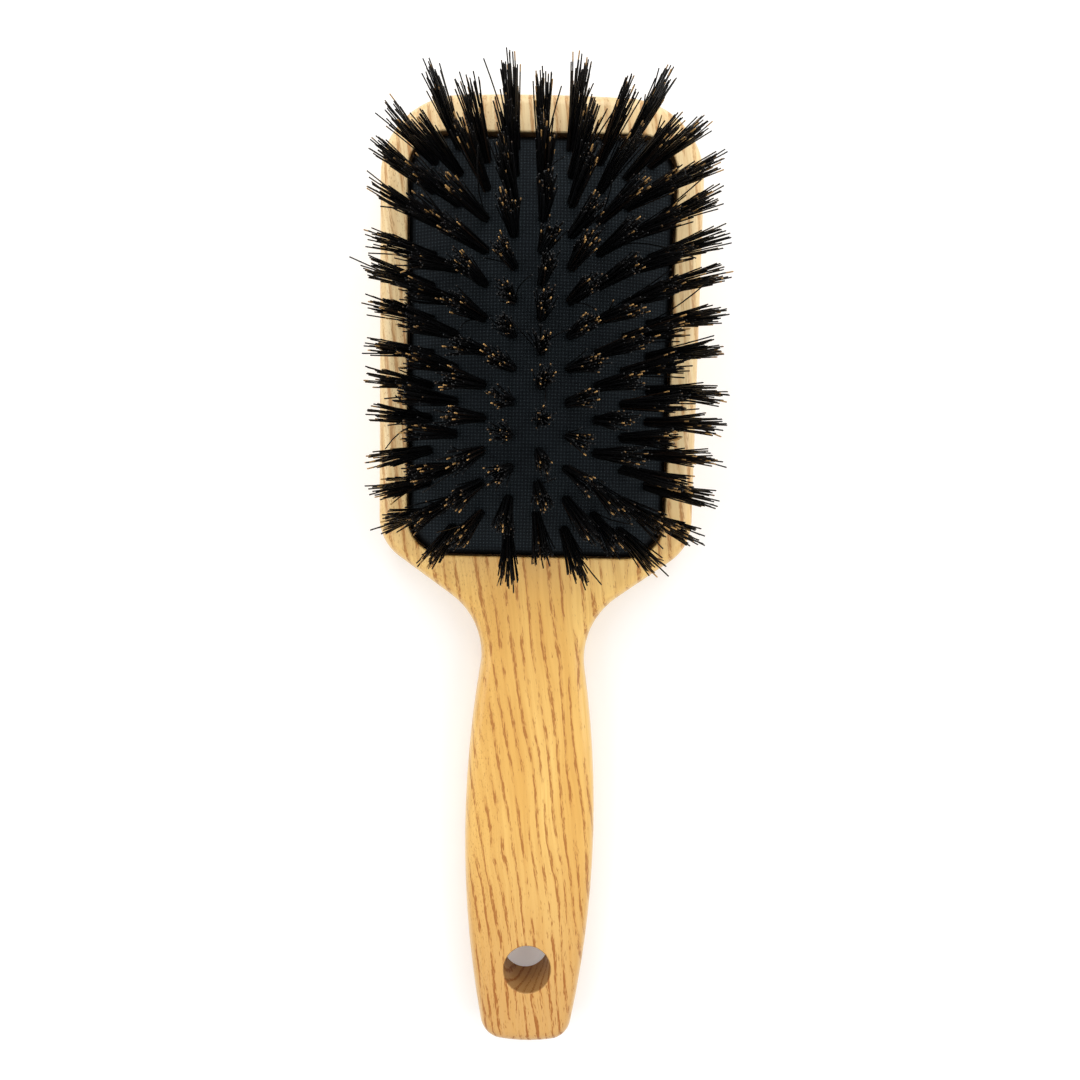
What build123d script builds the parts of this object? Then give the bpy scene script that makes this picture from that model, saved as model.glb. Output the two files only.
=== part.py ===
from build123d import *

import math
import os

os.makedirs("parts", exist_ok=True)

# A paddle brush that lies on its flat back. Z = 0 is the back, +Z points out of the
# bristles, +Y points from the handle to the head's end, and the origin lies under the
# middle of the cushion's opening. All sizes are in millimetres and all angles in degrees.

# Opening in the board's face, which the cushion pad sits in
opening_length = 108.0
opening_width_head = 69.0
opening_width_neck = 65.2
opening_corner_radius = 10.0
opening_edge_radius = 0.5
recess_depth = 8.6

# Board: paddle and handle in one piece of wood
board_thickness = 13.0
board_edge_radius = 3.2
border_side = 7.4
border_end = 10.5
head_camber = 1.7
head_corner_radius = 20.7
shoulder_radius = 12.5
shoulder_setback = 3.0
shoulder_slope_length = 20.2
neck_width = 22.7
neck_radius = 19.0
handle_length = 106.8
handle_width = 32.9
handle_belly_from_neck = 46.5
tail_width = 21.5
tail_camber = 1.4
tail_corner_radius = 5.8

# Hang hole through the tail
hang_hole_diameter = 11.9
hang_hole_from_tail = 19.2
hang_hole_edge_radius = 0.4

# Cushion pad: a domed sheet whose flange lies in a groove in the recess's wall
pad_wall = 1.6
pad_rise = 10.8
pad_rim_drop = 2.4
pad_side_gap = 0.3
dome_power_across = 2.0
dome_power_along = 3.0
dome_cap_share = 0.18
dome_level_count = 7
dome_cap_roundness = 0.9
skirt_height = 1.2
flange_thickness = 1.6
flange_reach = 2.0
groove_clearance = 0.2

# Tufts: rows across the pad, and every second row stands half a column to the side
row_count = 25
column_count = 9
field_margin_end = 5.6
field_margin_side = 5.9
field_shift = 1.5
bend_along = 26.0
bend_across = 28.0
tuft_lean_across = 0.80
tuft_lean_along = 0.83
stem_diameter = 2.4
stem_hole_clearance = 0.15
stem_above_pad = 1.2
stem_below_strip = 1.5

# Strips of the pad's inner layer, which carry the tufts
strip_gap = 0.3
strip_thickness = 1.0
strip_width = 2.8
strip_overhang = 2.4

# Strands: four of them stand for each tuft's bristles
strands_per_tuft = 4
strand_length = 24.0
strand_length_spread = 2.4
strand_root_width = 0.6
strand_tip_width = 0.3
strand_root_circle = 0.75
strand_tip_circle = 2.8
strand_embedding = 0.6
strand_turn = 137.5

# Anchors: a short wire through the fold at each tuft's lower end
anchor_diameter = 0.8
anchor_length = 3.4
anchor_clearance = 0.12

face_height = board_thickness
opening_half_length = opening_length / 2
head_end = opening_half_length + border_end
shoulder_back = opening_half_length - shoulder_setback
neck_back = shoulder_back + shoulder_slope_length
tail_end = neck_back + handle_length
rim_height = face_height - pad_rim_drop
flange_top = rim_height - skirt_height
flange_bottom = flange_top - flange_thickness


def side_half_width(y):
    """Half the opening's width at y, where its straight sides are extended."""
    toward_head = (y + opening_half_length) / opening_length
    width = opening_width_neck + (opening_width_head - opening_width_neck) * toward_head
    return width / 2


def rounded_outline(inset=0.0, across=1.0, along=1.0):
    """The opening's outline, moved inwards and shrunk. Small outlines are the rounder ones."""
    half_length = (opening_half_length - inset) * along
    half_head = (side_half_width(opening_half_length) - inset) * across
    half_neck = (side_half_width(-opening_half_length) - inset) * across
    corner_share = opening_corner_radius / side_half_width(-opening_half_length)
    roundness = corner_share + (dome_cap_roundness - corner_share) * (1 - across)
    corners = [
        (half_head, half_length),
        (-half_head, half_length),
        (-half_neck, -half_length),
        (half_neck, -half_length),
    ]
    with BuildSketch() as outline:
        Polygon(*corners, align=None)
        fillet(outline.vertices(), roundness * min(half_neck, half_head, half_length))
    return outline.sketch


def dome(depth):
    """The dome that lies the given depth inside the pad's outer face, on its own base."""
    base_height = rim_height - depth
    inset = pad_side_gap + depth
    with BuildPart() as solid:
        for level in range(dome_level_count):
            across = 1 - (1 - dome_cap_share) * level / (dome_level_count - 1)
            along = across ** (dome_power_across / dome_power_along)
            height = base_height + pad_rise * (1 - across**dome_power_across)
            with BuildSketch(Plane.XY.offset(height)):
                add(rounded_outline(inset, across, along))
        loft()
    return solid.part


def spread(step, step_count, half_span, bend):
    """A place on the dome, seen from above, of a hole drilled at even steps in a flat sheet."""
    angle = math.radians(bend)
    return half_span * math.sin(angle * step / step_count) / math.sin(angle)


pad_dome = dome(0)


def tuft_plane(x, y):
    """The plane across a tuft at (x, y). Tufts lean out, those near a side towards that side."""
    above = Axis((x, y, face_height + 2 * pad_rise), (0, 0, -1))
    seat = pad_dome.find_intersection_points(above)[0][0]
    across = x / side_half_width(0)
    along = y / opening_half_length
    lean_across = tuft_lean_across * across * (1 - along**4)
    lean_along = tuft_lean_along * along**3 * (1 - across**2)
    axis = Vector(lean_across, lean_along, 1)
    return Plane(origin=seat, x_dir=Vector(0, 1, 0).cross(axis), z_dir=axis)


def row_columns(row):
    """The columns that have a tuft in this row, counted from the middle one."""
    outermost = column_count // 2
    first = -outermost + 1 - row % 2
    return range(first, outermost + 1, 2)


def row_y(row):
    """Where a row crosses the pad. Row 0 is at the head's end."""
    middle = (row_count - 1) / 2
    half_span = opening_half_length - field_margin_end
    return field_shift + spread(middle - row, middle, half_span, bend_along)


def column_x(column):
    """Where a column runs along the pad."""
    half_span = side_half_width(0) - field_margin_side
    return spread(column, column_count // 2, half_span, bend_across)


row_planes = [
    [tuft_plane(column_x(column), row_y(row)) for column in row_columns(row)]
    for row in range(row_count)
]
tuft_planes = [plane for planes in row_planes for plane in planes]


# Board with the cushion's recess, its groove and the hang hole
with BuildPart() as wood_body:
    with BuildSketch() as board_outline:
        with BuildLine():
            head_half = side_half_width(opening_half_length) + border_side
            shoulder_half = side_half_width(-opening_half_length) + border_side
            end = TangentArc((0, head_end), (head_half, head_end - head_camber), tangent=(1, 0))
            side = Line(end @ 1, (shoulder_half, -shoulder_back))
            slope = Line(side @ 1, (neck_width / 2, -neck_back))
            belly = (handle_width / 2, -neck_back - handle_belly_from_neck)
            flank = ThreePointArc(slope @ 1, belly, (tail_width / 2, tail_camber - tail_end))
            TangentArc((0, -tail_end), flank @ 1, tangent=(1, 0))
            mirror(about=Plane.YZ)
        make_face()
        fillet(board_outline.vertices().group_by(Axis.Y)[3], head_corner_radius)
        fillet(board_outline.vertices().group_by(Axis.Y)[2], shoulder_radius)
        fillet(board_outline.vertices().group_by(Axis.Y)[1], neck_radius)
        fillet(board_outline.vertices().group_by(Axis.Y)[0], tail_corner_radius)
    extrude(amount=board_thickness)
    fillet(wood_body.faces().sort_by(Axis.Z)[-1].edges(), board_edge_radius)
    fillet(wood_body.faces().sort_by(Axis.Z)[0].edges(), board_edge_radius)
    with BuildSketch(Plane.XY.offset(face_height)):
        add(rounded_outline())
    extrude(amount=-recess_depth, mode=Mode.SUBTRACT)
    with BuildSketch(Plane.XY.offset(flange_bottom - groove_clearance)):
        add(rounded_outline(pad_side_gap - flange_reach - groove_clearance))
    extrude(amount=flange_thickness + 2 * groove_clearance, mode=Mode.SUBTRACT)
    opening_edges = wood_body.faces().sort_by(Axis.Z)[-1].inner_wires()[0].edges()
    fillet(opening_edges, opening_edge_radius)
    with BuildSketch(Plane.XY.offset(face_height)):
        with Locations((0, hang_hole_from_tail - tail_end)):
            Circle(hang_hole_diameter / 2)
    extrude(amount=-board_thickness, mode=Mode.SUBTRACT)
    hole_rims = wood_body.edges().filter_by(GeomType.CIRCLE).filter_by(
        lambda edge: abs(edge.radius - hang_hole_diameter / 2) < 0.001
    )
    fillet(hole_rims, hang_hole_edge_radius)
wood_body.part.label = "wood_body"
export_step(wood_body.part, "parts/wood_body.step")


# Cushion pad: dome, skirt and flange, hollow below, with a hole for each tuft
pad_hollow = dome(pad_wall)
with BuildPart() as cushion:
    add(pad_dome)
    with BuildSketch(Plane.XY.offset(flange_bottom)):
        add(rounded_outline(pad_side_gap))
    extrude(amount=rim_height - flange_bottom)
    with BuildSketch(Plane.XY.offset(flange_bottom)):
        add(rounded_outline(pad_side_gap - flange_reach))
    extrude(amount=flange_thickness)
    add(pad_hollow, mode=Mode.SUBTRACT)
    with BuildSketch(Plane.XY.offset(flange_bottom)):
        add(rounded_outline(pad_side_gap + pad_wall))
    extrude(amount=rim_height - pad_wall - flange_bottom, mode=Mode.SUBTRACT)
    for plane in tuft_planes:
        with BuildSketch(plane.offset(-2 * pad_wall)):
            Circle(stem_diameter / 2 + stem_hole_clearance)
    extrude(amount=3 * pad_wall, mode=Mode.SUBTRACT)
cushion.part.label = "cushion"
export_step(cushion.part, "parts/cushion.step")


# Tuft rows: each is a strip of the pad's inner layer with its tufts of strands
strip_top_depth = pad_wall + strip_gap
strip_bottom_depth = strip_top_depth + strip_thickness
stem_bottom_depth = strip_bottom_depth + stem_below_strip
anchor_depth = strip_bottom_depth + stem_below_strip / 2
strip_layer_top = dome(strip_top_depth)
strip_layer_hollow = dome(strip_bottom_depth)
with BuildPart() as strip_layer:
    add(strip_layer_top)
    add(strip_layer_hollow, mode=Mode.SUBTRACT)


def strand(plane, turn, length):
    """One tapered, four-sided strand of a tuft, leaning away from the tuft's axis."""
    outwards = plane.x_dir.rotate(Axis((0, 0, 0), plane.z_dir), turn)
    foot_height = stem_above_pad - strand_embedding
    foot = plane.origin + outwards * strand_root_circle + plane.z_dir * foot_height
    tip = plane.origin + outwards * strand_tip_circle + plane.z_dir * length
    along = Plane(origin=foot, x_dir=outwards.cross(plane.z_dir), z_dir=tip - foot)
    with BuildPart() as hair:
        with BuildSketch(along):
            Rectangle(strand_root_width, strand_root_width)
        with BuildSketch(along.offset((tip - foot).length)):
            Rectangle(strand_tip_width, strand_tip_width)
        loft()
    return hair.part


def tuft_strands(plane, number):
    """The strands of one tuft. Its number turns the tuft and sets its strands' lengths."""
    strands = []
    for index in range(strands_per_tuft):
        turn = (index / strands_per_tuft) * 360 + number * strand_turn
        uneven = math.sin(math.radians(turn + index * strand_turn))
        strands.append(strand(plane, turn, strand_length + strand_length_spread * uneven))
    return strands


first_tuft = 0
for row, planes in enumerate(row_planes):
    strands = []
    for place, plane in enumerate(planes):
        strands += tuft_strands(plane, first_tuft + place)
    first_tuft += len(planes)
    strip_half_length = planes[-1].origin.X + strip_overhang
    strip_middle = [(plane.origin - plane.z_dir * strip_bottom_depth).Y for plane in planes]
    with BuildPart() as tuft_row:
        with BuildSketch():
            with Locations((0, sum(strip_middle) / len(planes))):
                Rectangle(2 * strip_half_length, strip_width)
        extrude(amount=face_height + pad_rise)
        add(strip_layer.part, mode=Mode.INTERSECT)
        for plane in planes:
            with BuildSketch(plane.offset(-stem_bottom_depth)):
                Circle(stem_diameter / 2)
        extrude(amount=stem_bottom_depth + stem_above_pad)
        add(strands)
        for plane in planes:
            middle = plane.origin - plane.z_dir * anchor_depth
            with BuildSketch(Plane(origin=middle, x_dir=plane.z_dir, z_dir=plane.x_dir)):
                Circle(anchor_diameter / 2 + anchor_clearance)
        extrude(amount=stem_diameter, both=True, mode=Mode.SUBTRACT)
    name = f"tuft_row_{row + 1:02d}"
    tuft_row.part.label = name
    export_step(tuft_row.part, f"parts/{name}.step")


# Anchors: one short wire through each tuft's fold, all in one node
with BuildPart() as tuft_anchors:
    for plane in tuft_planes:
        middle = plane.origin - plane.z_dir * anchor_depth
        with BuildSketch(Plane(origin=middle, x_dir=plane.z_dir, z_dir=plane.x_dir)):
            Circle(anchor_diameter / 2)
    extrude(amount=anchor_length / 2, both=True)
tuft_anchors.part.label = "tuft_anchors"
export_step(tuft_anchors.part, "parts/tuft_anchors.step")
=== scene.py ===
import math
import random

import bpy
from mathutils import Matrix, Vector
from mathutils.bvhtree import BVHTree


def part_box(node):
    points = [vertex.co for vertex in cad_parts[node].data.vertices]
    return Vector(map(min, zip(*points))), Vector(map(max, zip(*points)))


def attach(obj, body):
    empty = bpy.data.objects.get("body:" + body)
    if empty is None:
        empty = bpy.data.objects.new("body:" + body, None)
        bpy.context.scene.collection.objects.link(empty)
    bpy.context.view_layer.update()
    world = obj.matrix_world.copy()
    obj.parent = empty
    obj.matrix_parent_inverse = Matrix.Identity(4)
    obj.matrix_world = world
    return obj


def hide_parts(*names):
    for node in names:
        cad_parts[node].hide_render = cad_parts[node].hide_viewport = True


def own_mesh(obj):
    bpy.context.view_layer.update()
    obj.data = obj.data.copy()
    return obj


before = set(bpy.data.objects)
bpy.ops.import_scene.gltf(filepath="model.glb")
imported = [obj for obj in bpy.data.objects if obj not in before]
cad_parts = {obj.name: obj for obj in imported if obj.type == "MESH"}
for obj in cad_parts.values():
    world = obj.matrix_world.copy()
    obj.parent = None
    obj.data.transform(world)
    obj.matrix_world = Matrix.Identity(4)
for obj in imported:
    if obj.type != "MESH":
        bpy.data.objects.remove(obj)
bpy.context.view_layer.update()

board_low, board_high = (Vector(corner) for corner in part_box("wood_body"))
face_height = board_high.z
tuft_row_names = sorted(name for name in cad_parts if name.startswith("tuft_row_"))


# Sizes, in metres and degrees

# Opening that holds the pad
opening_half_length = 0.054
opening_half_width_head = 0.0345
opening_half_width_neck = 0.0326
opening_corner_radius = 0.010

# Pad: a domed sheet with a rolled rim and a skirt
pad_wall = 0.0015
pad_rise = 0.0108
pad_rim_drop = 0.0024
pad_side_gap = 0.0003
pad_power_across = 2.0
pad_power_along = 3.0
pad_top_roundness = 0.9
pad_roll_radius = 0.0008
pad_skirt = 0.0022
pad_ring_count = 76
pad_ring_crowding = 0.9
pad_arc_steps = 26
pad_end_steps = 70
pad_side_steps = 130
pad_rim_band = 0.0012
pad_rim_strength = 1.4
rim_height = face_height - pad_rim_drop

# Tuft grid
row_count = len(tuft_row_names)
column_count = 9
field_margin_end = 0.0056
field_margin_side = 0.0059
field_shift = 0.0015
bend_along = 26.0
bend_across = 28.0
dimple_radius = 0.0017
dimple_depth = 0.00035

# Tufts: how far they lean over, as slopes, and how the corners hold them back
tuft_lean_across = 0.80
tuft_lean_neck = 0.83
tuft_lean_head = 1.12
tuft_hold_neck = 1.0
tuft_hold_head = 0.5
tuft_unevenness = 0.045
tuft_lean_seed = 7
tuft_root_radius = 0.00115
tuft_root_depth = 0.0010

# Hairs: shares are of a hair's length, leans are slopes
hairs_per_tuft = 46
hair_radius = 0.000175
hair_length = 0.0277
hair_segments = 6
hair_sides = 4
hair_taper_start = 0.70
hair_tip_share = 0.94
hair_bend = 0.035
shortest_share = 0.56
length_evenness = 0.80
outer_shortening = 0.22
tuft_fan = 0.058
hair_lean = 0.024
stray_share = 0.022
stray_extra_lean = 0.13
stray_extra_length = 0.05
stray_extra_bend = 5.0
row_seed_step = 100

# Hang hole
hang_hole_radius = 0.00595
hang_hole_from_tail = 0.0192
hang_hole_y = board_low.y + hang_hole_from_tail

# Camera above the face
camera_height = 0.2349
camera_lens = 30.84
camera_shift_across = 0.0403
camera_shift_along = -0.0686
camera_across = -0.0103
camera_along = -0.031
camera_roll = 1.146

# Floor, room and softboxes
floor_half_width = 3.0
floor_shade = 0.90
floor_lift = 0.16
room_light = 0.66
softbox_width = 0.6
softbox_height = 0.60
side_softbox_reach = 0.60
side_softbox_power = 2.1
head_softbox_reach = 0.62
head_softbox_power = 2.5


# Colours

# Wood: its ground, what tints the ground (painted light on the head, painted shade on the tail), its
# marks, the painted highlight on its rounded edges, and its cut walls, unlacquered and darkened by painted
# shade
wood_deep = (0.760, 0.410, 0.088, 1)
wood_pale = (0.930, 0.600, 0.180, 1)
wood_tail_tone_and_shade = (0.610, 0.330, 0.115, 1)
wood_head_tone_and_light = (0.98, 0.76, 0.42, 1)
wood_silk = (0.640, 0.320, 0.065, 1)
wood_early = (0.600, 0.260, 0.050, 1)
wood_marks = (0.370, 0.125, 0.014, 1)
wood_edge_highlight = (0.960, 0.690, 0.350, 1)
wood_bare_and_shade = (0.170, 0.068, 0.018, 1)

# Pad cloth: its dye, its lit threads (a painted highlight), the painted shade in the gaps between them,
# and its rim
cloth_deep = (0.0038, 0.0066, 0.0092, 1)
cloth_pale = (0.0072, 0.0114, 0.0150, 1)
cloth_lit = (0.055, 0.070, 0.078, 1)
cloth_gap_shade = (0.0015, 0.002, 0.0025, 1)
cloth_rim = (0.0025, 0.003, 0.0035, 1)

# Bristle: black and brown hair, dull and bright tips
hair_black = (0.0030, 0.0028, 0.0030, 1)
hair_brown = (0.020, 0.010, 0.005, 1)
tip_dull = (0.075, 0.045, 0.024, 1)
tip_gold = (0.56, 0.32, 0.11, 1)

# Anchor wire
wire_dark = (0.50, 0.51, 0.53, 1)
wire_bright = (0.62, 0.63, 0.65, 1)


# Node helpers


class Nodes:
    """Adds nodes to one tree, with a short call for each kind that is used often."""

    def __init__(self, tree):
        self.tree = tree

    def node(self, kind, inputs=None, **settings):
        made = self.tree.nodes.new(kind)
        for name, value in settings.items():
            setattr(made, name, value)
        for name, value in (inputs or {}).items():
            self.feed(made.inputs[name], value)
        return made

    def feed(self, socket, value):
        if isinstance(value, bpy.types.NodeSocket):
            self.tree.links.new(value, socket)
        else:
            socket.default_value = value

    def math(self, operation, first, second=0.0):
        return self.node("ShaderNodeMath", {0: first, 1: second}, operation=operation).outputs[0]

    def plus(self, first, second):
        return self.math("ADD", first, second)

    def minus(self, first, second):
        return self.math("SUBTRACT", first, second)

    def times(self, first, second):
        return self.math("MULTIPLY", first, second)

    def over(self, first, second):
        return self.math("DIVIDE", first, second)

    def larger(self, first, second):
        return self.math("MAXIMUM", first, second)

    def ramp(self, value, low, high, to_low=0.0, to_high=1.0):
        inputs = {"Value": value, "From Min": low, "From Max": high, "To Min": to_low, "To Max": to_high}
        made = self.node("ShaderNodeMapRange", inputs, interpolation_type="SMOOTHSTEP")
        return made.outputs["Result"]

    def mix(self, share, first, second):
        made = self.node("ShaderNodeMix", data_type="RGBA")
        self.feed(made.inputs[0], share)
        self.feed(made.inputs[6], first)
        self.feed(made.inputs[7], second)
        return made.outputs[2]

    def noise(self, vector, scale=1.0, detail=2.0, roughness=0.5):
        inputs = {"Vector": vector, "Scale": scale, "Detail": detail, "Roughness": roughness}
        return self.node("ShaderNodeTexNoise", inputs).outputs["Fac"]

    def bump(self, strength, distance, height):
        inputs = {"Strength": strength, "Distance": distance, "Height": height}
        return self.node("ShaderNodeBump", inputs).outputs[0]

    def split(self, vector):
        made = self.node("ShaderNodeSeparateXYZ", {0: vector})
        return made.outputs["X"], made.outputs["Y"], made.outputs["Z"]

    def join(self, x=0.0, y=0.0, z=0.0):
        return self.node("ShaderNodeCombineXYZ", {0: x, 1: y, 2: z}).outputs[0]

    def stretch(self, place, scales):
        """A place, given as its x, y and z, with a separate scale on each axis."""
        return self.join(*(self.times(part, scale) for part, scale in zip(place, scales)))


def shader_group(name, inputs, outputs):
    """A new shader node group with its sockets. Gives the group, its Nodes and both ends."""
    group = bpy.data.node_groups.new(name, "ShaderNodeTree")
    for label, kind, value in inputs:
        socket = group.interface.new_socket(label, in_out="INPUT", socket_type=kind)
        if value is not None:
            socket.default_value = value
    for label in outputs:
        group.interface.new_socket(label, in_out="OUTPUT", socket_type="NodeSocketFloat")
    nodes = Nodes(group)
    source = group.nodes.new("NodeGroupInput").outputs
    target = group.nodes.new("NodeGroupOutput").inputs
    return group, nodes, source, target


def new_material(name):
    """A material with a Principled surface, and the Nodes that fill it."""
    material = bpy.data.materials.new(name)
    material.use_nodes = True
    nodes = Nodes(material.node_tree)
    surface = material.node_tree.nodes["Principled BSDF"]
    return material, nodes, surface


def object_place(nodes, turn=0.0, stretch=(1.0, 1.0, 1.0)):
    """Object coordinates in metres, turned about Z and stretched."""
    place = nodes.node("ShaderNodeTexCoord").outputs["Object"]
    turned = nodes.node("ShaderNodeMapping", {"Vector": place, "Rotation": (0, 0, math.radians(turn))})
    return nodes.node("ShaderNodeMapping", {"Vector": turned.outputs[0], "Scale": stretch}).outputs[0]


# Wood: ring-porous grain under a satin lacquer


def grain_group():
    """Growth rings that run nearly along Y, with open pores bunched in each ring's early wood."""
    inputs = [
        ("Place", "NodeSocketVector", None),
        ("Ring Spacing", "NodeSocketFloat", 0.0030),
        ("Wander", "NodeSocketFloat", 0.0030),
        ("Pore Length", "NodeSocketFloat", 0.0024),
        ("Pore Width", "NodeSocketFloat", 0.00027),
    ]
    outputs = ["Early Wood", "Pores", "Silk", "Tone"]
    group, nodes, source, target = shader_group("wood_grain", inputs, outputs)
    x, y, z = nodes.split(source["Place"])

    # The rings wander slowly, and a little more quickly from one to the next
    slow = nodes.minus(nodes.noise(nodes.stretch((x, y, z), (38.0, 17.0, 30.0)), detail=4.0), 0.5)
    quick = nodes.minus(nodes.noise(nodes.stretch((x, y, z), (170.0, 24.0, 90.0)), detail=1.0), 0.5)
    drift = nodes.plus(slow, nodes.times(quick, 0.40))
    bent = nodes.plus(x, nodes.times(drift, nodes.times(source["Wander"], 2.0)))

    # Rings lean into the board's thickness and stand closer towards the tail
    tilted = nodes.plus(bent, nodes.times(z, 0.35))
    crowding = nodes.ramp(y, -0.180, -0.040, 1.42, 1.0)
    ring_place = nodes.over(nodes.times(tilted, crowding), source["Ring Spacing"])
    ring_number = nodes.math("FLOOR", ring_place)
    ring = nodes.math("FRACT", ring_place)
    early = nodes.times(nodes.ramp(ring, 0.0, 0.12), nodes.ramp(ring, 0.22, 0.55, 1.0, 0.0))
    ring_life = nodes.noise(nodes.join(nodes.times(ring_number, 3.7), nodes.times(y, 60.0)))
    early = nodes.times(early, nodes.ramp(ring_life, 0.33, 0.57, 0.12, 1.0))

    # Pores are short ragged dashes, more of them in early wood and towards the tail
    width, length = source["Pore Width"], source["Pore Length"]
    dash_place = nodes.join(nodes.over(bent, width), nodes.over(y, length), nodes.over(z, width))
    dashes = nodes.noise(dash_place, 0.75, 2.0, 0.6)
    ragged = nodes.noise(dash_place, 2.3, 1.0)
    speck = nodes.plus(nodes.times(dashes, 0.72), nodes.times(ragged, 0.28))
    limit = nodes.minus(0.655, nodes.times(early, 0.205))
    limit = nodes.minus(limit, nodes.ramp(y, -0.180, -0.110, 0.042, 0.0))

    nodes.feed(target["Early Wood"], early)
    nodes.feed(target["Pores"], nodes.ramp(nodes.minus(speck, limit), -0.045, 0.055))
    nodes.feed(target["Silk"], nodes.noise(nodes.stretch((bent, y, z), (1500.0, 60.0, 1500.0))))
    nodes.feed(target["Tone"], nodes.noise(nodes.stretch((bent, y, z), (70.0, 8.0, 40.0)), detail=3.0))
    return group


def inside_hang_hole(nodes, x, y):
    """A mask of the hang hole's wall."""
    hole_y = nodes.minus(y, hang_hole_y)
    reach = nodes.math("SQRT", nodes.plus(nodes.times(x, x), nodes.times(hole_y, hole_y)))
    return nodes.ramp(reach, hang_hole_radius + 0.0001, hang_hole_radius + 0.0003, 1.0, 0.0)


def inside_recess(nodes, x, y, z):
    """A mask of the walls and floor of the recess under the pad, where the wood is darkened by painted
    shade.
    """
    below_face = nodes.ramp(z, face_height - 0.0007, face_height - 0.0003, 1.0, 0.0)
    above_back = nodes.ramp(z, 0.0010, 0.0020)
    from_side, from_middle = nodes.math("ABSOLUTE", x), nodes.math("ABSOLUTE", y)
    side, end = opening_half_width_head, opening_half_length
    across = nodes.ramp(from_side, side + 0.002, side + 0.003, 1.0, 0.0)
    along = nodes.ramp(from_middle, end + 0.002, end + 0.003, 1.0, 0.0)
    corner = nodes.ramp(nodes.plus(from_side, from_middle), 0.0840, 0.0850, 1.0, 0.0)
    inside = nodes.times(nodes.times(across, along), nodes.times(below_face, above_back))
    return nodes.times(inside, corner)


def wood_material(grain):
    material, nodes, surface = new_material("lacquered_wood")
    x, y, z = nodes.split(object_place(nodes))
    rings = nodes.node("ShaderNodeGroup", node_tree=grain)
    nodes.feed(rings.inputs["Place"], object_place(nodes, turn=-7.0))
    early, pores, silk, tone = rings.outputs

    # The ground is paler on the head, partly its own tone and partly painted light against the tufts'
    # shade, and darker on the tail, partly duller wood and partly painted shade, with a silky streak all
    # over
    head = nodes.ramp(y, -0.068, -0.020, 0.0, 0.90)
    ground = nodes.mix(nodes.ramp(tone, 0.30, 0.70), wood_deep, wood_pale)
    ground = nodes.mix(nodes.ramp(y, -0.180, -0.115, 0.72, 0.0), ground, wood_tail_tone_and_shade)
    ground = nodes.mix(head, ground, wood_head_tone_and_light)
    ground = nodes.mix(nodes.ramp(silk, 0.35, 0.70, 0.0, 0.35), ground, wood_silk)
    warm = nodes.mix(nodes.times(early, 0.45), ground, wood_early)

    # Marks are the pores, faint on the head, and fine freckles on the handle's left side
    freckle_place = object_place(nodes, turn=-4.0, stretch=(3600, 1100, 3600))
    freckle = nodes.ramp(nodes.noise(freckle_place, detail=1.0), 0.60, 0.70)
    left_side = nodes.ramp(x, -0.014, -0.004, 1.0, 0.0)
    freckle = nodes.times(freckle, nodes.times(left_side, 0.45))
    depth_of_marks = nodes.minus(nodes.ramp(y, -0.180, -0.120, 1.0, 0.80), nodes.times(head, 0.34))
    marks = nodes.larger(nodes.times(pores, depth_of_marks), freckle)
    streaked = nodes.mix(marks, warm, wood_marks)

    # Edges get a painted highlight where they round off towards the sides, and cut walls are darker,
    # partly unlacquered wood and partly painted shade in the hole and the recess
    in_hole = inside_hang_hole(nodes, x, y)
    in_recess = inside_recess(nodes, x, y, z)
    # Cut walls in the hang hole and the recess are darkened: partly unlacquered wood, partly painted shade
    # where little light reaches in, strongest in the recess under the pad
    bare_and_shade = nodes.larger(nodes.times(in_hole, 0.42), nodes.times(in_recess, 0.88))
    outside = nodes.minus(1.0, nodes.larger(in_hole, in_recess))
    edge_highlight_share = nodes.ramp(z, face_height - 0.0022, face_height - 0.0004, 0.55, 0.0)
    edge_highlighted = nodes.mix(nodes.times(edge_highlight_share, outside), streaked, wood_edge_highlight)
    nodes.feed(surface.inputs["Base Color"], nodes.mix(bare_and_shade, edge_highlighted, wood_bare_and_shade))

    nodes.feed(surface.inputs["Roughness"], nodes.ramp(pores, 0.0, 1.0, 0.34, 0.55))
    surface.inputs["Coat Weight"].default_value = 0.25
    surface.inputs["Coat Roughness"].default_value = 0.16
    surface.inputs["Specular IOR Level"].default_value = 0.35
    nodes.feed(surface.inputs["Normal"], nodes.bump(0.35, 0.00008, nodes.minus(1.0, pores)))
    return material


# Pad cloth: a plain weave, smooth along the rim


def weave_group():
    """A plain weave on X and Y: the height of its threads, and a mask of the gaps between them."""
    inputs = [("Place", "NodeSocketVector", None), ("Pitch", "NodeSocketFloat", 0.00085)]
    group, nodes, source, target = shader_group("plain_weave", inputs, ["Height", "Gaps"])
    x, y, z = nodes.split(source["Place"])
    across = nodes.math("SINE", nodes.times(nodes.over(x, source["Pitch"]), math.pi))
    along = nodes.math("SINE", nodes.times(nodes.over(y, source["Pitch"]), math.pi))
    warp = nodes.math("POWER", nodes.math("ABSOLUTE", across), 0.6)
    weft = nodes.math("POWER", nodes.math("ABSOLUTE", along), 0.6)
    lift = nodes.times(nodes.times(across, along), 0.25)
    warp_height = nodes.times(warp, nodes.plus(lift, 0.75))
    weft_height = nodes.times(weft, nodes.minus(0.75, lift))
    height = nodes.larger(warp_height, weft_height)
    nodes.feed(target["Height"], height)
    nodes.feed(target["Gaps"], nodes.ramp(height, 0.30, 0.70, 1.0, 0.0))
    return group


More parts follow.
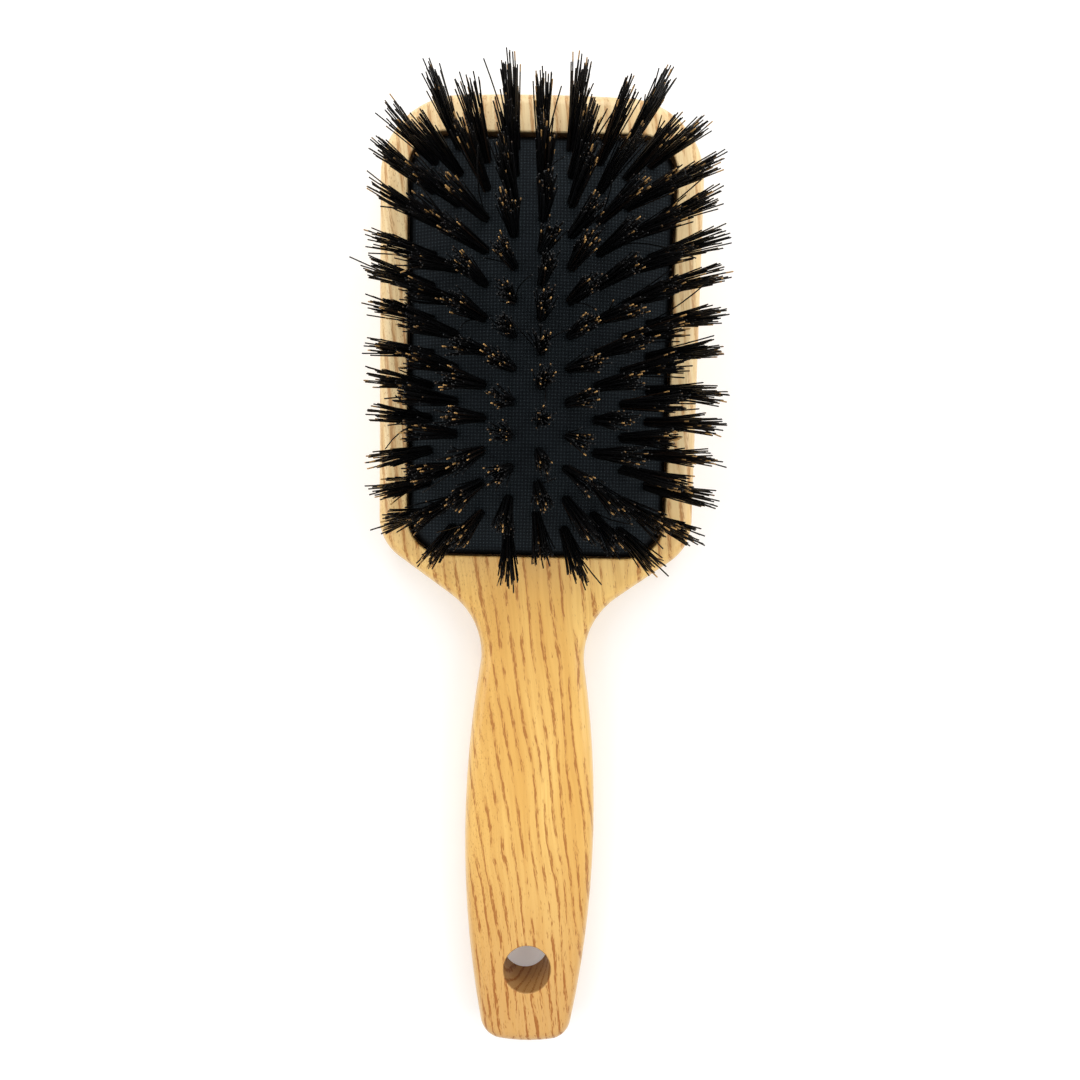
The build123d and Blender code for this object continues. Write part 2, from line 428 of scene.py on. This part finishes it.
def pad_material(weave):
    material, nodes, surface = new_material("pad_cloth")
    place = object_place(nodes)
    rim = nodes.node("ShaderNodeAttribute", attribute_name="rim").outputs["Fac"]
    threads = nodes.node("ShaderNodeGroup", node_tree=weave)
    nodes.feed(threads.inputs["Place"], place)
    height, gaps = threads.outputs
    fade = nodes.minus(1.0, rim)
    patchy = nodes.noise(place, 90.0, 3.0)
    dyed = nodes.mix(nodes.ramp(patchy, 0.3, 0.7), cloth_deep, cloth_pale)
    # Thread tops get a painted highlight, and the gaps between threads get a painted shade that fades out
    # towards the rim
    lit = nodes.mix(nodes.ramp(height, 0.86, 1.0, 0.0, 0.6), dyed, cloth_lit)
    shaded = nodes.mix(nodes.times(gaps, nodes.times(fade, 0.8)), lit, cloth_gap_shade)
    nodes.feed(surface.inputs["Base Color"], nodes.mix(rim, shaded, cloth_rim))
    nodes.feed(surface.inputs["Roughness"], nodes.ramp(rim, 0.0, 1.0, 0.80, 0.50))
    surface.inputs["Specular IOR Level"].default_value = 0.18
    nodes.feed(surface.inputs["Normal"], nodes.bump(0.8, 0.00022, nodes.times(height, fade)))
    return material


# Bristle and wire


def bristle_material():
    """Black hair. Many hairs pale to gold at the tip and some are brown, as their tone says."""
    material, nodes, surface = new_material("boar_bristle")
    along = nodes.node("ShaderNodeAttribute", attribute_name="along").outputs["Fac"]
    tone = nodes.node("ShaderNodeAttribute", attribute_name="tone").outputs["Fac"]
    hair = nodes.mix(nodes.ramp(tone, 0.86, 1.0), hair_black, hair_brown)
    gold = nodes.mix(nodes.ramp(tone, 0.80, 0.97), tip_dull, tip_gold)
    tip_start = nodes.ramp(tone, 0.78, 1.0, 0.985, 0.91)
    tip = nodes.ramp(nodes.minus(along, tip_start), -0.012, 0.02)
    gilded = nodes.times(tip, nodes.ramp(tone, 0.74, 0.80))
    nodes.feed(surface.inputs["Base Color"], nodes.mix(gilded, hair, gold))
    nodes.feed(surface.inputs["Roughness"], nodes.ramp(gilded, 0.0, 1.0, 0.42, 0.6))
    surface.inputs["Specular IOR Level"].default_value = 0.35
    return material


def wire_material():
    material, nodes, surface = new_material("anchor_wire")
    drawn = nodes.noise(object_place(nodes), 2400.0)
    nodes.feed(surface.inputs["Base Color"], nodes.mix(drawn, wire_dark, wire_bright))
    surface.inputs["Metallic"].default_value = 1.0
    nodes.feed(surface.inputs["Roughness"], nodes.ramp(drawn, 0.2, 0.8, 0.28, 0.45))
    return material


# Pad


def rounded_corners(share_across, share_along, inset):
    """The pad's outline as corner points and a radius: the opening's outline, inset and shrunk."""
    half_length = (opening_half_length - inset) * share_along
    half_head = (opening_half_width_head - inset) * share_across
    half_neck = (opening_half_width_neck - inset) * share_across
    corner_share = opening_corner_radius / opening_half_width_neck
    roundness = corner_share + (pad_top_roundness - corner_share) * (1 - share_across)
    corners = [
        Vector((half_head, half_length)),
        Vector((-half_head, half_length)),
        Vector((-half_neck, -half_length)),
        Vector((half_neck, -half_length)),
    ]
    return corners, roundness * min(half_neck, half_head, half_length)


def outline_points(share_across, share_along, inset):
    """Points round one level of the pad, as many on each level, anticlockwise."""
    corners, radius = rounded_corners(share_across, share_along, inset)
    arcs = []
    for index, corner in enumerate(corners):
        towards = (corner - corners[index - 1]).normalized()
        away = (corners[(index + 1) % len(corners)] - corner).normalized()
        turn = towards.angle(away)
        start = corner - towards * radius * math.tan(turn / 2)
        middle = start + Vector((-towards.y, towards.x)) * radius
        steps = range(pad_arc_steps + 1)
        turns = [Matrix.Rotation(turn * step / pad_arc_steps, 2) for step in steps]
        arcs.append([middle + rotation @ (start - middle) for rotation in turns])
    points = []
    for index, arc in enumerate(arcs):
        following = arcs[(index + 1) % len(arcs)]
        steps = pad_end_steps if index % 2 == 0 else pad_side_steps
        points += arc + [arc[-1].lerp(following[0], step / steps) for step in range(1, steps)]
    return points


def pad_rings():
    """The pad's levels from the skirt's foot to the crown: outline points, height, rim mask."""
    rings = []
    skirt_foot = rim_height - pad_skirt
    for height in (skirt_foot, (skirt_foot + rim_height) / 2):
        rings.append((outline_points(1.0, 1.0, pad_side_gap), height, 1.0))
    for index in range(pad_ring_count):
        share = 1 - (index / pad_ring_count) ** pad_ring_crowding
        along = share ** (pad_power_across / pad_power_along)
        height = rim_height + pad_rise * (1 - share**pad_power_across)
        inward = (1 - share) * opening_half_width_neck
        roll = max(0.0, 1 - inward / pad_roll_radius)
        height -= pad_roll_radius * roll**2
        rim = min(1.0, max(0.0, pad_rim_strength - inward / pad_rim_band))
        rings.append((outline_points(share, along, pad_side_gap), height, rim))
    return rings


def make_pad_shell():
    """The pad's outer face and skirt as one open sheet with its crown closed."""
    rings = pad_rings()
    count = len(rings[0][0])
    vertices = []
    rim_mask = []
    for points, height, rim in rings:
        vertices += [(point.x, point.y, height) for point in points]
        rim_mask += [rim] * count
    crown = len(vertices)
    vertices.append((0.0, 0.0, rim_height + pad_rise))
    rim_mask.append(0.0)
    faces = []
    for level in range(len(rings) - 1):
        for index in range(count):
            after = (index + 1) % count
            low, high = level * count, (level + 1) * count
            faces.append((low + index, low + after, high + after, high + index))
    top = (len(rings) - 1) * count
    faces += [(top + index, top + (index + 1) % count, crown) for index in range(count)]
    mesh = bpy.data.meshes.new("cushion_pad")
    mesh.from_pydata(vertices, [], faces)
    mesh.polygons.foreach_set("use_smooth", [True] * len(mesh.polygons))
    rims = mesh.attributes.new("rim", "FLOAT", "POINT")
    rims.data.foreach_set("value", rim_mask)
    return mesh


def spread(step, step_count, half_span, bend):
    """A place on the dome, seen from above, of a hole drilled at even steps in a flat sheet."""
    angle = math.radians(bend)
    return half_span * math.sin(angle * step / step_count) / math.sin(angle)


def tuft_seats(pad_mesh):
    """Where each tuft leaves the pad and which way it points, one list for each row."""
    places = [vertex.co for vertex in pad_mesh.vertices]
    surface = BVHTree.FromPolygons(places, [face.vertices for face in pad_mesh.polygons])
    middle = (row_count - 1) / 2
    outermost = column_count // 2
    half_length = opening_half_length - field_margin_end
    mean_half_width = (opening_half_width_head + opening_half_width_neck) / 2
    half_width = mean_half_width - field_margin_side
    chance = random.Random(tuft_lean_seed)
    down = Vector((0, 0, -1))
    rows = []
    for row in range(row_count):
        y = field_shift + spread(middle - row, middle, half_length, bend_along)
        along = y / opening_half_length
        hold = tuft_hold_head if along > 0 else tuft_hold_neck
        end_lean = tuft_lean_head if along > 0 else tuft_lean_neck
        seats = []
        for column in range(1 - outermost - row % 2, outermost + 1, 2):
            x = spread(column, outermost, half_width, bend_across)
            across = x / mean_half_width
            seat = surface.ray_cast(Vector((x, y, board_high.z * 3)), down)[0]
            lean_across = tuft_lean_across * across * (1 - hold * along**4)
            lean_across += chance.gauss(0, tuft_unevenness)
            lean_along = end_lean * along**3 * (1 - across**2)
            lean_along += chance.gauss(0, tuft_unevenness)
            seats.append((seat, Vector((lean_across, lean_along, 1)).normalized()))
        rows.append(seats)
    return rows


def press_dimples(mesh, rows):
    """The pad is drawn in a little round each tuft."""
    seats = [seat for row in rows for seat in row]
    far = 3 * dimple_radius
    for vertex in mesh.vertices:
        for seat, axis in seats:
            if abs(vertex.co.y - seat.y) > far or abs(vertex.co.x - seat.x) > far:
                continue
            distance = (vertex.co - seat).length / dimple_radius
            vertex.co -= axis * dimple_depth * math.exp(-distance * distance)


def make_pad(mesh, material):
    pad = bpy.data.objects.new("cushion_pad", mesh)
    bpy.context.collection.objects.link(pad)
    mesh.materials.append(material)
    wall = pad.modifiers.new("wall", "SOLIDIFY")
    wall.thickness = pad_wall
    wall.offset = -1.0
    return pad


# Bristles


def bristle_tree(material):
    """A tree that grows a tuft of hairs on each vertex, along the vertex's axis attribute."""
    tree = bpy.data.node_groups.new("bristle_tufts", "GeometryNodeTree")
    tree.is_modifier = True
    sockets = [
        ("Seats", "NodeSocketGeometry", None),
        ("Hairs Per Tuft", "NodeSocketInt", hairs_per_tuft),
        ("Root Radius", "NodeSocketFloat", tuft_root_radius),
        ("Root Depth", "NodeSocketFloat", tuft_root_depth),
        ("Hair Radius", "NodeSocketFloat", hair_radius),
        ("Hair Length", "NodeSocketFloat", hair_length),
        ("Shortest Share", "NodeSocketFloat", shortest_share),
        ("Fan", "NodeSocketFloat", tuft_fan),
        ("Hair Lean", "NodeSocketFloat", hair_lean),
        ("Bend", "NodeSocketFloat", hair_bend),
        ("Stray Share", "NodeSocketFloat", stray_share),
        ("Seed", "NodeSocketInt", 0),
        ("Finish", "NodeSocketMaterial", material),
    ]
    for label, kind, value in sockets:
        socket = tree.interface.new_socket(label, in_out="INPUT", socket_type=kind)
        if value is not None:
            socket.default_value = value
    tree.interface.new_socket("Hairs", in_out="OUTPUT", socket_type="NodeSocketGeometry")
    nodes = Nodes(tree)
    given = tree.nodes.new("NodeGroupInput").outputs
    result = tree.nodes.new("NodeGroupOutput").inputs

    def chance(offset, low=0.0, high=1.0):
        seed = nodes.plus(given["Seed"], float(offset))
        made = nodes.node("FunctionNodeRandomValue", {2: low, 3: high, "Seed": seed}, data_type="FLOAT")
        return made.outputs[1]

    def attribute(name, kind):
        return nodes.node("GeometryNodeInputNamedAttribute", {"Name": name}, data_type=kind).outputs[0]

    def store(geometry, name, value, kind="FLOAT"):
        inputs = {"Geometry": geometry, "Name": name, "Value": value}
        made = nodes.node("GeometryNodeStoreNamedAttribute", inputs, data_type=kind, domain="POINT")
        return made.outputs[0]

    def step(kind, **inputs):
        """The next geometry node, with its inputs named by their labels, an underscore for a space."""
        labelled = {label.replace("_", " "): value for label, value in inputs.items()}
        return nodes.node(kind, labelled).outputs[0]

    def scaled(vector, factor):
        made = nodes.node("ShaderNodeVectorMath", {0: vector, "Scale": factor}, operation="SCALE")
        return made.outputs[0]

    def added(first, second):
        return nodes.node("ShaderNodeVectorMath", {0: first, 1: second}, operation="ADD").outputs[0]

    def turned(vector, rotation):
        return nodes.node("FunctionNodeRotateVector", {"Vector": vector, "Rotation": rotation}).outputs[0]

    def upright_on(vector):
        return nodes.node("FunctionNodeAlignRotationToVector", {"Vector": vector}, axis="Z").outputs[0]

    # One point for each hair, spread over the tuft's root
    points = step("GeometryNodeMeshToPoints", Mesh=given["Seats"])
    amount = {"Geometry": points, "Amount": given["Hairs Per Tuft"]}
    copied = nodes.node("GeometryNodeDuplicateElements", amount, domain="POINT").outputs[0]
    tuft_turn = upright_on(attribute("axis", "FLOAT_VECTOR"))
    reach = nodes.math("SQRT", chance(1))
    angle = chance(2, 0.0, 2 * math.pi)
    outward = nodes.join(nodes.math("COSINE", angle), nodes.math("SINE", angle))
    root = scaled(outward, nodes.times(reach, given["Root Radius"]))
    sunk = added(root, nodes.join(0.0, 0.0, nodes.times(given["Root Depth"], -1.0)))
    placed = step("GeometryNodeSetPosition", Geometry=copied, Offset=turned(sunk, tuft_turn))

    # Hairs fan out from the tuft's middle, and a few stray further
    stray = nodes.math("LESS_THAN", chance(3), given["Stray Share"])
    fan = scaled(outward, nodes.times(reach, given["Fan"]))
    wild = nodes.plus(given["Hair Lean"], nodes.times(stray, stray_extra_lean))
    aside = scaled(nodes.join(chance(4, -1.0, 1.0), chance(5, -1.0, 1.0), 0.0), wild)
    aim = added(added(fan, aside), (0.0, 0.0, 1.0))
    pointing = upright_on(turned(aim, tuft_turn))

    # Outer hairs are shorter, so that a tuft's end is rounded and ragged
    even = nodes.math("POWER", chance(6), length_evenness)
    even = nodes.times(even, nodes.minus(1.0, nodes.times(reach, outer_shortening)))
    share = nodes.times(even, nodes.minus(1.0, given["Shortest Share"]))
    share = nodes.plus(given["Shortest Share"], share)
    share = nodes.plus(share, nodes.times(stray, stray_extra_length))
    length = nodes.times(given["Hair Length"], share)
    curl = nodes.times(given["Bend"], nodes.plus(1.0, nodes.times(stray, stray_extra_bend)))
    sideways = nodes.join(chance(7, -1.0, 1.0), chance(8, -1.0, 1.0), 0.0)
    bend = turned(scaled(sideways, nodes.times(curl, length)), tuft_turn)
    marked = store(placed, "bend", bend, "FLOAT_VECTOR")
    marked = store(marked, "tone", chance(9))

    # A straight line is set on each point, bent more towards its tip, and given its thickness
    line = step("GeometryNodeCurvePrimitiveLine", End=(0.0, 0.0, 1.0))
    pieces = {"Curve": line, "Count": hair_segments}
    jointed = nodes.node("GeometryNodeResampleCurve", pieces, mode="COUNT").outputs[0]
    grown = step(
        "GeometryNodeInstanceOnPoints",
        Points=marked,
        Instance=jointed,
        Rotation=pointing,
        Scale=nodes.join(1.0, 1.0, length),
    )
    strands = step("GeometryNodeRealizeInstances", Geometry=grown)
    factor = nodes.node("GeometryNodeSplineParameter").outputs["Factor"]
    bent = scaled(attribute("bend", "FLOAT_VECTOR"), nodes.math("POWER", factor, 2.0))
    curved = step("GeometryNodeSetPosition", Geometry=strands, Offset=bent)
    along = store(curved, "along", factor)
    width = nodes.ramp(factor, hair_taper_start, 1.0, 1.0, hair_tip_share)
    taper = nodes.times(given["Hair Radius"], width)
    circle = {"Resolution": hair_sides, "Radius": 1.0}
    profile = nodes.node("GeometryNodeCurvePrimitiveCircle", circle, mode="RADIUS").outputs[0]
    hair = step("GeometryNodeCurveToMesh", Curve=along, Profile_Curve=profile, Scale=taper, Fill_Caps=True)
    whole = step("GeometryNodeRealizeInstances", Geometry=hair)
    finished = step("GeometryNodeSetMaterial", Geometry=whole, Material=given["Finish"])
    nodes.feed(result["Hairs"], finished)
    return tree


def make_tufts(name, seats, tree, seed):
    """One row of tufts, grown on its seats and kept as a plain mesh."""
    seat_mesh = bpy.data.meshes.new(name + "_seats")
    seat_mesh.from_pydata([seat for seat, axis in seats], [], [])
    axes = seat_mesh.attributes.new("axis", "FLOAT_VECTOR", "POINT")
    axes.data.foreach_set("vector", [part for seat, axis in seats for part in axis])
    grower = bpy.data.objects.new(name + "_seats", seat_mesh)
    bpy.context.collection.objects.link(grower)
    growth = grower.modifiers.new("tufts", "NODES")
    growth.node_group = tree
    seed_socket = next(item for item in tree.interface.items_tree if item.name == "Seed")
    growth[seed_socket.identifier] = seed
    depsgraph = bpy.context.evaluated_depsgraph_get()
    mesh = bpy.data.meshes.new_from_object(grower.evaluated_get(depsgraph), depsgraph=depsgraph)
    mesh.name = name
    bpy.data.objects.remove(grower)
    tufts = bpy.data.objects.new(name, mesh)
    bpy.context.collection.objects.link(tufts)
    return tufts


# Build the object's pieces

wood = wood_material(grain_group())
cloth = pad_material(weave_group())
bristle = bristle_material()
wire = wire_material()

bpy.data.objects["wood_body"].material_slots[0].material = wood
bpy.data.objects["tuft_anchors"].material_slots[0].material = wire

pad_mesh = make_pad_shell()
seats_by_row = tuft_seats(pad_mesh)
press_dimples(pad_mesh, seats_by_row)
pad = make_pad(pad_mesh, cloth)
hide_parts("cushion")
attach(pad, "board")
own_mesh(pad)

tufts_tree = bristle_tree(bristle)
for number, (row_name, seats) in enumerate(zip(tuft_row_names, seats_by_row)):
    bristle_name = row_name.replace("tuft_row", "bristle_row")
    tufts = make_tufts(bristle_name, seats, tufts_tree, row_seed_step * number)
    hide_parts(row_name)
    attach(tufts, "tuft_field")


# Stage, light and camera


def floor_material():
    """White floor. What the camera sees of it directly is lifted a little, so that it is white."""
    material, nodes, surface = new_material("floor_white")
    surface.inputs["Base Color"].default_value = (floor_shade, floor_shade, floor_shade, 1)
    surface.inputs["Roughness"].default_value = 0.9
    surface.inputs["Specular IOR Level"].default_value = 0.0
    camera_ray = nodes.node("ShaderNodeLightPath").outputs["Is Camera Ray"]
    surface.inputs["Emission Color"].default_value = (1, 1, 1, 1)
    nodes.feed(surface.inputs["Emission Strength"], nodes.times(camera_ray, floor_lift))
    return material


def make_floor():
    mesh = bpy.data.meshes.new("floor")
    half = floor_half_width
    corners = [(-half, -half, 0), (half, -half, 0), (half, half, 0), (-half, half, 0)]
    mesh.from_pydata(corners, [], [(0, 1, 2, 3)])
    mesh.materials.append(floor_material())
    floor = bpy.data.objects.new("floor", mesh)
    bpy.context.collection.objects.link(floor)


def make_world():
    """An even white room. It is plain white wherever the camera or a reflection sees it."""
    world = bpy.data.worlds.new("studio")
    bpy.context.scene.world = world
    world.use_nodes = True
    nodes = Nodes(world.node_tree)
    background = world.node_tree.nodes["Background"]
    path = nodes.node("ShaderNodeLightPath").outputs
    mirrored = nodes.larger(path["Is Glossy Ray"], path["Is Transmission Ray"])
    seen = nodes.larger(path["Is Camera Ray"], mirrored)
    background.inputs["Color"].default_value = (1, 1, 1, 1)
    nodes.feed(background.inputs["Strength"], nodes.ramp(seen, 0.0, 1.0, room_light, 1.0))


def make_softbox(name, place, aim, power):
    lamp = bpy.data.lights.new(name, "AREA")
    lamp.shape = "RECTANGLE"
    lamp.size = lamp.size_y = softbox_width
    lamp.energy = power
    box = bpy.data.objects.new(name, lamp)
    box.location = place
    box.rotation_euler = (Vector(aim) - Vector(place)).to_track_quat("-Z", "Y").to_euler()
    bpy.context.collection.objects.link(box)


def make_camera():
    camera = bpy.data.cameras.new("camera")
    camera.lens = camera_lens
    camera.sensor_width = 36.0
    camera.shift_x = camera_shift_across
    camera.shift_y = camera_shift_along
    camera.clip_start = 0.01
    stand = bpy.data.objects.new("camera", camera)
    stand.location = (camera_across, camera_along, face_height + camera_height)
    stand.rotation_euler = (0, 0, math.radians(camera_roll))
    bpy.context.collection.objects.link(stand)
    bpy.context.scene.camera = stand


make_floor()
make_world()
for side, name in ((-1, "left_softbox"), (1, "right_softbox")):
    place = (side * side_softbox_reach, -0.02, softbox_height)
    make_softbox(name, place, (0, -0.03, 0), side_softbox_power)
make_softbox("head_softbox", (0, head_softbox_reach, softbox_height), (0, 0, 0), head_softbox_power)
make_camera()
bpy.context.scene.view_settings.view_transform = "Standard"
